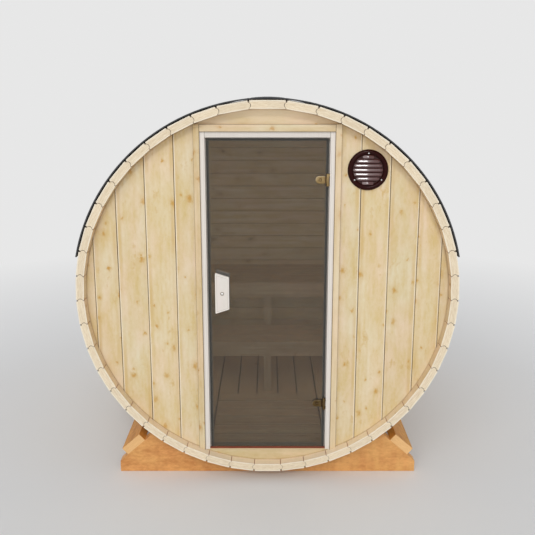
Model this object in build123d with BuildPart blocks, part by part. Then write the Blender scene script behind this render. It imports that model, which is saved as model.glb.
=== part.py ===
from build123d import *
import os
from math import cos, degrees, hypot, pi, radians, sin, sqrt, tan

os.makedirs("parts", exist_ok=True)

# The barrel lies along Y with its door end towards minus Y; the ground is at zero height.

# Barrel shell
barrel_length = 2050
barrel_diameter = 1970
stave_thickness = 42
side_stave_count = 21
floor_stave_share = 1.12
shoulder_stave_share = 1.22
crown_stave_share = 1.41
stave_gap = 0.4
bead_rise = 9
bead_land = 8
stave_outer_chamfer = 6
stave_inner_chamfer = 2
floor_stave_count = 7

# End walls, let into a groove near the stave ends
wall_recess = 55
wall_thickness = 42
croze_depth = 14
fit_gap = 0.3
board_groove_width = 7
board_groove_depth = 5
front_board_widths = (100, 150, 150, 125)
back_board_width = 96
back_joint_rise = 49

# Doorway and its frame
doorway_width = 628
jamb_face_width = 24
jamb_depth = 60
jamb_proud = 4
frame_head_height = 28
stop_width = 18
post_width = 33
post_proud = 12
head_board_height = 36
threshold_height = 5
seal_thickness = 3
seal_width = 15

# Glass door
glass_thickness = 8
glass_setback = 10
glass_edge_gap = 6
seal_clearance = 8

# Hinges
hinge_top_inset = 205
hinge_foot_inset = 256
hinge_axis_inset = 5
hinge_axis_stand = 12.5
knuckle_radius = 7.5
knuckle_height = 62
middle_knuckle_height = 30
knuckle_gap = 0.5
pin_radius = 3
pin_clearance = 0.05
arm_thickness = 5
tongue_length = 60
tongue_height = 37
tongue_thickness = 5
tongue_knuckle_gap = 10
web_width = 15
web_front = 3

# Door handles
handle_edge_inset = 38
handle_width = 72
handle_tall_side = 217
handle_short_side = 170
handle_rise = 890
handle_thickness = 20
handle_standoff = 30
handle_spacer_radius = 12
handle_round = 4

# Vent
vent_diameter = 205
vent_opening = 150
vent_depth = 14
vent_post_gap = 31
vent_rim_gap = 24
vent_round = 5
louvre_count = 7
louvre_thickness = 3
louvre_width = 17
louvre_tilt = 40
louvre_bite = 3

# Stand
cradle_web = 66
cradle_width = 1650
cradle_setback = 130
cradle_thickness = 60
cradle_foot_height = 60
cradle_toe_run = 35
cradle_toe_rise = 34
cradle_shoulder_angle = 41.5
rail_width = 130
rail_thickness = 46
rail_shift = 12

# Hoops and roof covering
hoop_width = 30
hoop_thickness = 1.5
hoop_setback = 330
roof_thickness = 6
roof_overhang = 6
roof_half_angle = 78
roof_strip_count = 3

# Benches across the back
seat_thickness = 28
seat_gap = 10
apron_thickness = 28
upper_seat_height = 668
upper_bench_depth = 580
upper_apron_height = 106
upper_slat_count = 4
lower_seat_height = 356
lower_bench_depth = 372
lower_apron_height = 98
lower_slat_count = 3
bearer_width = 45
bearer_height = 70
leg_width = 50
leg_depth = 50

# Duckboard
duckboard_width = 610
duckboard_length = 700
duckboard_count = 6
duckboard_gap = 10
duckboard_thickness = 20
duckboard_setback = 10
runner_width = 40
runner_inset = 95

# Sizes that follow from those above
outer_apothem = barrel_diameter / 2
inner_apothem = outer_apothem - stave_thickness
share_sum = 2 * side_stave_count + floor_stave_share + 2 * shoulder_stave_share + crown_stave_share
stave_angle = 360 / share_sum
floor_reach = hypot(outer_apothem, outer_apothem * tan(radians(floor_stave_share * stave_angle / 2)))
crown_reach = hypot(outer_apothem, outer_apothem * tan(radians(crown_stave_share * stave_angle / 2)))
cradle_radius = floor_reach + fit_gap
axis_height = cradle_web + cradle_radius
floor_height = axis_height - inner_apothem

front_end = -barrel_length / 2
back_end = barrel_length / 2
wall_front = front_end + wall_recess
wall_inside = wall_front + wall_thickness
back_inside = back_end - wall_recess - wall_thickness
croze_radius = inner_apothem + croze_depth
wall_radius = croze_radius - fit_gap
room_radius = inner_apothem - fit_gap

doorway_half = doorway_width / 2
jamb_outer = doorway_half + jamb_face_width
post_outer = jamb_outer + post_width
sill_top = axis_height - sqrt(inner_apothem**2 - jamb_outer**2)
lintel_foot = axis_height + sqrt(inner_apothem**2 - post_outer**2)
head_board_foot = lintel_foot - head_board_height
frame_head_foot = head_board_foot - frame_head_height
post_front = wall_front - post_proud
jamb_front = wall_front - jamb_proud
jamb_back = jamb_front + jamb_depth
glass_front = jamb_front + glass_setback
glass_back = glass_front + glass_thickness
seal_front = glass_back + seal_clearance
stop_front = seal_front + seal_thickness
stop_inner = doorway_half - stop_width

glass_half = doorway_half - glass_edge_gap
glass_foot = sill_top + threshold_height + glass_edge_gap
glass_top = frame_head_foot - glass_edge_gap
hinge_x = glass_half - hinge_axis_inset
hinge_y = glass_front - hinge_axis_stand
upper_hinge_height = glass_top - hinge_top_inset
lower_hinge_height = glass_foot + hinge_foot_inset


def save(piece, label):
    piece.part.label = label
    export_step(piece.part, "parts/" + label + ".step")


# An upright plane at the depth y, drawn as seen from the door end; extruding goes towards that end.
def upright(y):
    return Plane.XZ.offset(-y)


def block(x0, x1, y0, y1, z0, z1, mode=Mode.ADD):
    with Locations(((x0 + x1) / 2, (y0 + y1) / 2, (z0 + z1) / 2)):
        Box(x1 - x0, y1 - y0, z1 - z0, mode=mode)


# A cylinder along the barrel's axis between two depths.
def drum(radius, y0, y1, mode=Mode.ADD):
    with BuildSketch(upright(y1)) as disc:
        with Locations((0, axis_height)):
            Circle(radius)
    extrude(disc.sketch, amount=y1 - y0, mode=mode)


# Staves, numbered from the floor stave round each side; angles are from straight down, positive to the right.
stave_shares = [floor_stave_share] + [1] * side_stave_count + [shoulder_stave_share, crown_stave_share]
stave_centres = [0]
for number in range(1, len(stave_shares)):
    step_share = (stave_shares[number - 1] + stave_shares[number]) / 2
    stave_centres.append(stave_centres[-1] + step_share * stave_angle)


# Height of the staves' inner faces at a distance from the middle.
def floor_height_at(x):
    drops = []
    for centre in stave_centres:
        turn = radians(centre)
        if turn < pi / 4:
            drops.append((inner_apothem - abs(x) * sin(turn)) / cos(turn))
    return axis_height - min(drops)


# One edge of a stave as points from the inside face to the outside face, with the middle of its bead or cove.
def stave_edge(half, side, bulge):
    def on_edge(y):
        return (side * (y * tan(half) - stave_gap / 2 / cos(half)), y)

    def on_joint(radius, shift):
        x = radius * sin(half) + shift * cos(half)
        return (side * x, radius * cos(half) - shift * sin(half))

    inner_corner = on_edge(inner_apothem)
    outer_corner = on_edge(outer_apothem)
    bead_foot = inner_apothem + bead_land
    bead_head = outer_apothem - bead_land
    return [
        (inner_corner[0] - side * stave_inner_chamfer, inner_apothem),
        on_edge(inner_apothem + stave_inner_chamfer),
        on_joint(bead_foot, -stave_gap / 2),
        on_joint((bead_foot + bead_head) / 2, bulge * bead_rise - stave_gap / 2),
        on_joint(bead_head, -stave_gap / 2),
        on_edge(outer_apothem - stave_outer_chamfer),
        (outer_corner[0] - side * stave_outer_chamfer, outer_apothem),
    ]


# One stave of the full length; side is plus for the right, minus for the left and zero for floor and crown.
def stave(number, side):
    turn = radians(stave_centres[number] * (side or 1))
    half = radians(stave_shares[number] * stave_angle / 2)
    right_bulge = side or (1 if number == 0 else -1)
    left_bulge = -side or right_bulge
    right = stave_edge(half, 1, right_bulge)
    left = stave_edge(half, -1, left_bulge)
    face = Plane(origin=(0, front_end, axis_height), x_dir=(cos(turn), 0, sin(turn)), z_dir=(0, 1, 0))
    with BuildSketch(face) as section:
        with BuildLine():
            Polyline(left[0], right[0], right[1], right[2])
            ThreePointArc(right[2], right[3], right[4])
            Polyline(right[4], right[5], right[6], left[6], left[5], left[4])
            ThreePointArc(left[4], left[3], left[2])
            Polyline(left[2], left[1], left[0])
        make_face()
    extrude(section.sketch, amount=barrel_length)


# The grooves that the end walls sit in.
def crozes():
    drum(croze_radius, wall_front - fit_gap, wall_inside + fit_gap, Mode.SUBTRACT)
    drum(croze_radius, back_inside - fit_gap, back_inside + wall_thickness + fit_gap, Mode.SUBTRACT)


# The staves under the floor and at the crown
floor_side_count = floor_stave_count // 2
with BuildPart() as floor_staves:
    stave(0, 0)
    for number in range(1, floor_side_count + 1):
        stave(number, 1)
        stave(number, -1)
    crozes()
save(floor_staves, "floor_staves")

with BuildPart() as crown_staves:
    stave(len(stave_shares) - 1, 0)
    stave(len(stave_shares) - 2, 1)
    stave(len(stave_shares) - 2, -1)
    crozes()
save(crown_staves, "crown_staves")

# The side staves, in three segments on each side
segment_count = (side_stave_count - floor_side_count) // 3
segment_starts = [floor_side_count + 1 + segment_count * segment for segment in range(3)]
segment_starts.append(side_stave_count + 1)
segment_names = ("lower", "side", "upper")
for side, side_name in ((-1, "left"), (1, "right")):
    for segment in range(3):
        with BuildPart() as side_staves:
            for number in range(segment_starts[segment], segment_starts[segment + 1]):
                stave(number, side)
            crozes()
        save(side_staves, side_name + "_" + segment_names[segment] + "_staves")

# Steel hoops round the staves
hoop_inner = crown_reach + fit_gap
hoop_outer = hoop_inner + hoop_thickness
with BuildPart() as hoops:
    for hoop_y in (front_end + hoop_setback, 0, back_end - hoop_setback):
        drum(hoop_outer, hoop_y - hoop_width / 2, hoop_y + hoop_width / 2)
        drum(hoop_inner, hoop_y - hoop_width / 2, hoop_y + hoop_width / 2, Mode.SUBTRACT)
save(hoops, "hoops")

# Roof covering over the hoops, in strips along the barrel
roof_inner = hoop_outer + fit_gap
roof_outer = roof_inner + roof_thickness
strip_angle = 2 * roof_half_angle / roof_strip_count
strip_gap = degrees(stave_gap / roof_inner)
with BuildPart() as roof_cover:
    for strip in range(roof_strip_count):
        strip_start = radians(90 - roof_half_angle + strip * strip_angle + strip_gap / 2)
        strip_end = radians(90 - roof_half_angle + (strip + 1) * strip_angle - strip_gap / 2)
        strip_middle = (strip_start + strip_end) / 2
        turns = (strip_start, strip_middle, strip_end)
        inner_arc = [(roof_inner * cos(turn), axis_height + roof_inner * sin(turn)) for turn in turns]
        outer_arc = [(roof_outer * cos(turn), axis_height + roof_outer * sin(turn)) for turn in turns]
        with BuildSketch(upright(back_end + roof_overhang)):
            with BuildLine():
                ThreePointArc(inner_arc[0], inner_arc[1], inner_arc[2])
                Line(inner_arc[2], outer_arc[2])
                ThreePointArc(outer_arc[2], outer_arc[1], outer_arc[0])
                Line(outer_arc[0], inner_arc[0])
            make_face()
        extrude(amount=barrel_length + 2 * roof_overhang)
save(roof_cover, "roof_cover")

# Cradles: a flat-footed board with a hollow for the barrel and a sloped shoulder each side for a rail
toe_x = cradle_width / 2 - cradle_toe_run
toe_height = cradle_foot_height + cradle_toe_rise
peak_height = toe_height + toe_x * tan(radians(cradle_shoulder_angle))
cradle_outline = [
    (-cradle_width / 2, 0),
    (cradle_width / 2, 0),
    (cradle_width / 2, cradle_foot_height),
    (toe_x, toe_height),
    (0, peak_height),
    (-toe_x, toe_height),
    (-cradle_width / 2, cradle_foot_height),
]
cradle_front = front_end + cradle_setback
cradle_back = back_end - cradle_setback
for end_name, back_face in (("front", cradle_front + cradle_thickness), ("rear", cradle_back)):
    with BuildPart() as cradle:
        with BuildSketch(upright(back_face)):
            Polygon(cradle_outline, align=None)
            with Locations((0, axis_height)):
                Circle(cradle_radius, mode=Mode.SUBTRACT)
        extrude(amount=cradle_thickness)
    save(cradle, end_name + "_cradle")

# Rails lying on the cradles' shoulders
shoulder = radians(cradle_shoulder_angle)
for side, side_name in ((-1, "left"), (1, "right")):
    along = (-side * cos(shoulder), sin(shoulder))
    away = (side * sin(shoulder), cos(shoulder))
    rail_low = (side * toe_x + along[0] * rail_shift, toe_height + along[1] * rail_shift)
    rail_high = (rail_low[0] + along[0] * rail_width, rail_low[1] + along[1] * rail_width)
    rail_top = (rail_high[0] + away[0] * rail_thickness, rail_high[1] + away[1] * rail_thickness)
    rail_out = (rail_low[0] + away[0] * rail_thickness, rail_low[1] + away[1] * rail_thickness)
    with BuildPart() as rail:
        with BuildSketch(upright(cradle_back)):
            Polygon([rail_low, rail_high, rail_top, rail_out], align=None)
        extrude(amount=cradle_back - cradle_front)
    save(rail, side_name + "_rail")


# A board joint up a wall: a small V on both faces.
def upright_joint(x):
    reach = board_groove_width / 2
    for face_y, inward in ((wall_front, 1), (wall_inside, -1)):
        with BuildSketch(Plane.XY.offset(axis_height - croze_radius)) as notch:
            corners = [(x - reach, face_y), (x + reach, face_y), (x, face_y + inward * board_groove_depth)]
            Polygon(corners, align=None)
        extrude(notch.sketch, amount=2 * croze_radius, mode=Mode.SUBTRACT)


# A board joint across the back wall.
def level_joint(height):
    reach = board_groove_width / 2
    for face_y, inward in ((back_inside, 1), (back_inside + wall_thickness, -1)):
        with BuildSketch(Plane.YZ.offset(-croze_radius)) as notch:
            deep = (face_y + inward * board_groove_depth, height)
            Polygon([(face_y, height - reach), (face_y, height + reach), deep], align=None)
        extrude(notch.sketch, amount=2 * croze_radius, mode=Mode.SUBTRACT)


# Front wall panels of upright boards beside the doorway, with the vent's hole through the right one
vent_radius = vent_diameter / 2
vent_x = post_outer + vent_post_gap + vent_radius
vent_height = axis_height + sqrt((inner_apothem - vent_rim_gap - vent_radius) ** 2 - vent_x**2)
for side, side_name in ((-1, "left"), (1, "right")):
    with BuildPart() as front_wall:
        drum(wall_radius, wall_front, wall_inside)
        near_x = side * post_outer
        far_x = side * croze_radius
        low_x = min(near_x, far_x)
        high_x = max(near_x, far_x)
        wall_low = axis_height - croze_radius
        wall_high = axis_height + croze_radius
        block(low_x, high_x, wall_front, wall_inside, wall_low, wall_high, Mode.INTERSECT)
        joint_x = post_outer
        for board_width in front_board_widths:
            joint_x += board_width
            if joint_x < inner_apothem:
                upright_joint(side * joint_x)
        if side > 0:
            with BuildSketch(upright(wall_inside)):
                with Locations((vent_x, vent_height)):
                    Circle(vent_opening / 2)
            extrude(amount=wall_thickness, mode=Mode.SUBTRACT)
    save(front_wall, "front_wall_" + side_name)

# Lintel board over the door and sill board under it
with BuildPart() as wall_lintel:
    drum(wall_radius, wall_front, wall_inside)
    lintel_top = axis_height + croze_radius
    block(-post_outer, post_outer, wall_front, wall_inside, lintel_foot, lintel_top, Mode.INTERSECT)
save(wall_lintel, "wall_lintel")

with BuildPart() as wall_sill:
    drum(wall_radius, wall_front, wall_inside)
    sill_foot = axis_height - croze_radius
    block(-jamb_outer, jamb_outer, wall_front, wall_inside, sill_foot, sill_top, Mode.INTERSECT)
save(wall_sill, "wall_sill")

# Posts beside the doorway, standing proud of the wall and cut to the staves
for side, side_name in ((-1, "left"), (1, "right")):
    with BuildPart() as post:
        drum(wall_radius, wall_front, wall_inside)
        drum(room_radius, post_front, wall_front)
        low_x = min(side * jamb_outer, side * post_outer)
        high_x = max(side * jamb_outer, side * post_outer)
        post_foot = axis_height - croze_radius
        block(low_x, high_x, post_front, wall_inside, post_foot, lintel_foot, Mode.INTERSECT)
    save(post, side_name + "_post")

with BuildPart() as head_board:
    block(-jamb_outer, jamb_outer, post_front, wall_inside, head_board_foot, lintel_foot)
save(head_board, "head_board")

# Door frame with a stop behind the glass
for side, side_name in ((-1, "left"), (1, "right")):
    jamb_low = min(side * doorway_half, side * jamb_outer)
    jamb_high = max(side * doorway_half, side * jamb_outer)
    stop_low = min(side * stop_inner, side * doorway_half)
    stop_high = max(side * stop_inner, side * doorway_half)
    with BuildPart() as jamb:
        block(jamb_low, jamb_high, jamb_front, jamb_back, sill_top, head_board_foot)
        block(stop_low, stop_high, stop_front, jamb_back, sill_top, head_board_foot)
        drum(room_radius, jamb_front, jamb_back, Mode.INTERSECT)
    save(jamb, side_name + "_jamb")

with BuildPart() as frame_head:
    block(-doorway_half, doorway_half, jamb_front, stop_front, frame_head_foot, head_board_foot)
    block(-stop_inner, stop_inner, stop_front, jamb_back, frame_head_foot - stop_width, head_board_foot)
save(frame_head, "frame_head")

with BuildPart() as threshold:
    block(-doorway_half, doorway_half, jamb_front, stop_front, sill_top, sill_top + threshold_height)
save(threshold, "threshold")

# Rubber strips on the stops
seal_outer = doorway_half - (stop_width - seal_width) / 2
seal_inner = seal_outer - seal_width
seal_top = frame_head_foot - stop_width
with BuildPart() as door_seal:
    block(-seal_outer, -seal_inner, seal_front, stop_front, sill_top + threshold_height, seal_top)
    block(seal_inner, seal_outer, seal_front, stop_front, sill_top + threshold_height, seal_top)
    top_low = seal_top + (stop_width - seal_width) / 2
    block(-seal_inner, seal_inner, seal_front, stop_front, top_low, top_low + seal_width)
save(door_seal, "door_seal")

# The door: one pane of glass
with BuildPart() as door_glass:
    block(-glass_half, glass_half, glass_front, glass_back, glass_foot, glass_top)
save(door_glass, "door_glass")


# An upright cylinder on the hinge axis.
def hinge_barrel(radius, z0, z1, mode=Mode.ADD):
    with BuildSketch(Plane.XY.offset(z0)) as ring:
        with Locations((hinge_x, hinge_y)):
            Circle(radius)
    extrude(ring.sketch, amount=z1 - z0, mode=mode)


# A round-ended hinge plate on the glass, from the depth y towards the door end.
def tongue(y, height):
    tongue_end = hinge_x - tongue_knuckle_gap
    tongue_tip = hinge_x - tongue_length
    round_radius = tongue_height / 2
    with BuildSketch(upright(y)) as plate:
        with Locations(((tongue_tip + round_radius + tongue_end) / 2, height)):
            Rectangle(tongue_end - tongue_tip - round_radius, tongue_height)
        with Locations((tongue_tip + round_radius, height)):
            Circle(round_radius)
    extrude(plate.sketch, amount=tongue_thickness)


# Hinges: the leaf with its pin is fixed to the jamb, the clamp turns with the glass
for hinge_name, height in (("upper", upper_hinge_height), ("lower", lower_hinge_height)):
    knuckle_top = height + knuckle_height / 2
    knuckle_foot = height - knuckle_height / 2
    middle_top = height + middle_knuckle_height / 2
    middle_foot = height - middle_knuckle_height / 2
    with BuildPart() as hinge_leaf:
        hinge_barrel(pin_radius, knuckle_foot, knuckle_top)
        for z0, z1 in ((knuckle_foot, middle_foot - knuckle_gap), (middle_top + knuckle_gap, knuckle_top)):
            hinge_barrel(knuckle_radius, z0, z1)
            block(hinge_x, doorway_half, jamb_front, jamb_front + arm_thickness, z0, z1)
    save(hinge_leaf, hinge_name + "_hinge_leaf")
    with BuildPart() as hinge_clamp:
        hinge_barrel(knuckle_radius, middle_foot, middle_top)
        block(hinge_x - web_width, hinge_x, hinge_y - web_front, glass_front, middle_foot, middle_top)
        tongue(glass_front, height)
        hinge_barrel(pin_radius + pin_clearance, middle_foot, middle_top, Mode.SUBTRACT)
        tongue(glass_back + tongue_thickness, height)
    save(hinge_clamp, hinge_name + "_hinge_clamp")

# Handles: a tapered plate on a round spacer, one outside and one inside
handle_left = -glass_half + handle_edge_inset
handle_right = handle_left + handle_width
handle_height = sill_top + handle_rise
handle_shape = [
    (handle_left, handle_height - handle_tall_side / 2),
    (handle_right, handle_height - handle_short_side / 2),
    (handle_right, handle_height + handle_short_side / 2),
    (handle_left, handle_height + handle_tall_side / 2),
]
handle_reach = handle_standoff + handle_thickness
outer_places = ("outer", glass_front - handle_standoff, glass_front)
inner_places = ("inner", glass_back + handle_reach, glass_back + handle_standoff)
for place_name, plate_back, spacer_back in (outer_places, inner_places):
    with BuildPart() as handle:
        with BuildSketch(upright(plate_back)):
            Polygon(handle_shape, align=None)
        extrude(amount=handle_thickness)
        fillet(handle.edges(), handle_round)
        with BuildSketch(upright(spacer_back)):
            with Locations(((handle_left + handle_right) / 2, handle_height)):
                Circle(handle_spacer_radius)
        extrude(amount=handle_standoff)
    save(handle, place_name + "_handle")

# Vent grille: a round rim with sloped louvres
with BuildPart() as vent_grille:
    louvre_pitch = vent_opening / louvre_count
    for number in range(louvre_count):
        louvre_height = vent_height - vent_opening / 2 + (number + 1 / 2) * louvre_pitch
        with Locations(Location((vent_x, wall_front - vent_depth / 2, louvre_height), (louvre_tilt, 0, 0))):
            Box(vent_opening + 2 * louvre_bite, louvre_width, louvre_thickness)
    with BuildSketch(upright(wall_front)):
        with Locations((vent_x, vent_height)):
            Circle(vent_opening / 2 + louvre_bite)
    extrude(amount=vent_depth, mode=Mode.INTERSECT)
    with BuildSketch(upright(wall_front)):
        with Locations((vent_x, vent_height)):
            Circle(vent_radius)
            Circle(vent_opening / 2, mode=Mode.SUBTRACT)
    extrude(amount=vent_depth)
save(vent_grille, "vent_grille")

# Back wall of level boards
with BuildPart() as back_wall:
    drum(wall_radius, back_inside, back_inside + wall_thickness)
    joint_count = int(2 * inner_apothem / back_board_width) + 1
    for number in range(-joint_count, joint_count + 1):
        joint_rise = back_joint_rise + number * back_board_width
        if abs(joint_rise) + board_groove_width < inner_apothem:
            level_joint(axis_height + joint_rise)
save(back_wall, "back_wall")


# Half the room's width between the staves at a height.
def room_half_at(height):
    return sqrt(room_radius**2 - (height - axis_height) ** 2)


# Benches across the back: seat slats and an apron on bearers, carried by the staves and a middle leg
upper_front = back_inside - upper_bench_depth
lower_front = upper_front - lower_bench_depth
upper_places = ("upper", upper_front, back_inside, upper_seat_height, upper_apron_height, upper_slat_count)
lower_places = ("lower", lower_front, upper_front, lower_seat_height, lower_apron_height, lower_slat_count)
leg_places = []
for bench_places in (upper_places, lower_places):
    bench_name, bench_front, bench_back, seat_height, apron_height, slat_count = bench_places
    seat_top = floor_height + seat_height
    seat_foot = seat_top - seat_thickness
    apron_back = bench_front + apron_thickness
    seat_half = room_half_at(seat_foot)
    slat_pitch = (bench_back - apron_back) / slat_count
    with BuildPart() as bench_seat:
        for number in range(slat_count):
            slat_back = apron_back + (number + 1) * slat_pitch
            block(-seat_half, seat_half, slat_back - slat_pitch + seat_gap, slat_back, seat_foot, seat_top)
    save(bench_seat, bench_name + "_bench_seat")
    with BuildPart() as bench_apron:
        drum(room_radius, bench_front, apron_back)
        apron_foot = seat_top - apron_height
        block(-seat_half, seat_half, bench_front, apron_back, apron_foot, seat_top, Mode.INTERSECT)
    save(bench_apron, bench_name + "_bench_apron")
    bearer_foot = seat_foot - bearer_height
    bearer_half = room_half_at(bearer_foot)
    middle_back = bench_back if bench_name == "upper" else upper_front + apron_thickness
    with BuildPart() as bench_bearers:
        block(-bearer_half, -bearer_half + bearer_width, apron_back, bench_back, bearer_foot, seat_foot)
        block(bearer_half - bearer_width, bearer_half, apron_back, bench_back, bearer_foot, seat_foot)
        block(-bearer_width / 2, bearer_width / 2, apron_back, middle_back, bearer_foot, seat_foot)
    save(bench_bearers, bench_name + "_bench_bearers")
    leg_places.append((apron_back, bearer_foot))

with BuildPart() as bench_legs:
    for leg_front, leg_top in leg_places:
        block(-leg_width / 2, leg_width / 2, leg_front, leg_front + leg_depth, floor_height, leg_top)
save(bench_legs, "bench_legs")

# Duckboard on the barrel's floor inside the door
duckboard_start = jamb_back + duckboard_setback
duckboard_pitch = duckboard_length / duckboard_count
duckboard_half = duckboard_width / 2
duckboard_foot = floor_height_at(duckboard_half) + fit_gap
duckboard_top = duckboard_foot + duckboard_thickness
with BuildPart() as duckboard_slats:
    for number in range(duckboard_count):
        slat_start = duckboard_start + number * duckboard_pitch
        slat_end = slat_start + duckboard_pitch - duckboard_gap
        block(-duckboard_half, duckboard_half, slat_start, slat_end, duckboard_foot, duckboard_top)
save(duckboard_slats, "duckboard_slats")

runner_outer = duckboard_half - runner_inset
runner_inner = runner_outer - runner_width
runner_foot = floor_height_at(runner_outer) + fit_gap
runner_end = duckboard_start + duckboard_length - duckboard_gap
with BuildPart() as duckboard_runners:
    block(runner_inner, runner_outer, duckboard_start, runner_end, runner_foot, duckboard_foot)
    block(-runner_outer, -runner_inner, duckboard_start, runner_end, runner_foot, duckboard_foot)
save(duckboard_runners, "duckboard_runners")
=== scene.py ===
import math
import bpy
from mathutils import Matrix, Vector


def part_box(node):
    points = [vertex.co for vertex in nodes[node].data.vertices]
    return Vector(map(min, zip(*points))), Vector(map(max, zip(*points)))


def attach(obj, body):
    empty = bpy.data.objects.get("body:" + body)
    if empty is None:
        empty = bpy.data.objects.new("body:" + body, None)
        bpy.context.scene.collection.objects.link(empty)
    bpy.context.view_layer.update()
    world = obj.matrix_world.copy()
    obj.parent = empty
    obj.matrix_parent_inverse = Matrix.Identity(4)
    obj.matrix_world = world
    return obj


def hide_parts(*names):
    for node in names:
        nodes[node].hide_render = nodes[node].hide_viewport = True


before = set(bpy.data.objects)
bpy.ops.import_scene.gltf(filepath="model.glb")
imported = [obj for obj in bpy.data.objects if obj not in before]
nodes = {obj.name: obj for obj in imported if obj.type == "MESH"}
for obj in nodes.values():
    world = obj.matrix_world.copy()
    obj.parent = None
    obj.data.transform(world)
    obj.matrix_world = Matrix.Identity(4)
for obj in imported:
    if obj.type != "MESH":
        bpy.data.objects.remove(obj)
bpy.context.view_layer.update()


# Cradles: two thick planks on edge, sawn out to the barrel's curve, one near each end of the barrel.
# They are softwood oiled a warm orange brown, much darker than the barrel that lies in them.
class Tone:
    """A socket of a finish; arithmetic on it adds Math nodes."""

    def __init__(self, finish, socket):
        self.finish = finish
        self.socket = socket

    def op(self, operation, *others, first=None):
        terms = ([] if first is None else [first]) + [self, *others]
        return self.finish.node("ShaderNodeMath", {"operation": operation}, dict(enumerate(terms)))

    def __add__(self, other):
        return self.op("ADD", other)

    def __sub__(self, other):
        return self.op("SUBTRACT", other)

    def __rsub__(self, other):
        return self.op("SUBTRACT", first=other)

    def __mul__(self, other):
        return self.op("MULTIPLY", other)

    def __truediv__(self, other):
        return self.op("DIVIDE", other)

    def __rtruediv__(self, other):
        return self.op("DIVIDE", first=other)

    def __pow__(self, other):
        return self.op("POWER", other)

    def __mod__(self, other):
        return self.op("FLOORED_MODULO", other)

    def __gt__(self, other):
        return self.op("GREATER_THAN", other)

    def __lt__(self, other):
        return self.op("LESS_THAN", other)

    def __abs__(self):
        return self.op("ABSOLUTE")

    __radd__ = __add__
    __rmul__ = __mul__

    def clamp(self):
        return self.finish.node("ShaderNodeClamp", {}, {0: self})


class Finish:
    """A material; node() adds a node to it and gives back one of its outputs."""

    def __init__(self, name, **constants):
        self.material = bpy.data.materials.new(name)
        self.material.use_nodes = True
        self.tree = self.material.node_tree
        self.shader = self.tree.nodes["Principled BSDF"]
        for socket, value in constants.items():
            self.shader.inputs[socket.replace("_", " ")].default_value = value

    def node(self, kind, settings=None, inputs=None, output=0):
        made = self.tree.nodes.new(kind)
        for key, value in (settings or {}).items():
            setattr(made, key, value)
        for key, value in (inputs or {}).items():
            if isinstance(value, Tone):
                self.tree.links.new(value.socket, made.inputs[key])
            else:
                made.inputs[key].default_value = value
        return Tone(self, made.outputs[output])

    def feed(self, socket, tone):
        self.tree.links.new(tone.socket, self.shader.inputs[socket])

    def place(self):
        spot = self.node("ShaderNodeTexCoord", output="Object")
        return [self.node("ShaderNodeSeparateXYZ", {}, {0: spot}, axis) for axis in "XYZ"]

    def facing(self, axis):
        normal = self.node("ShaderNodeNewGeometry", output="True Normal")
        return abs(self.node("ShaderNodeSeparateXYZ", {}, {0: normal}, axis))

    def noise(self, a, b, c, detail=2.0, rough=0.5):
        spot = self.node("ShaderNodeCombineXYZ", {}, {0: a, 1: b, 2: c})
        sockets = {"Vector": spot, "Scale": 1.0, "Detail": detail, "Roughness": rough}
        return self.node("ShaderNodeTexNoise", {}, sockets)

    def chance(self, number):
        return self.node("ShaderNodeTexWhiteNoise", {"noise_dimensions": "1D"}, {"W": number}, "Value")

    def blend(self, low, high, share):
        colours = [c if isinstance(c, Tone) else (*c, 1.0) for c in (low, high)]
        return self.node("ShaderNodeMix", {"data_type": "RGBA"}, {0: share, 6: colours[0], 7: colours[1]}, 2)

    def dim(self, colour, factor):
        return self.node("ShaderNodeVectorMath", {"operation": "SCALE"}, {0: colour, "Scale": factor})

    def bump(self, height, strength, depth):
        settings = {"Height": height, "Strength": strength, "Distance": depth}
        self.feed("Normal", self.node("ShaderNodeBump", {}, settings))


def span(a, b):
    return (a * a + b * b).op("SQRT")


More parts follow.
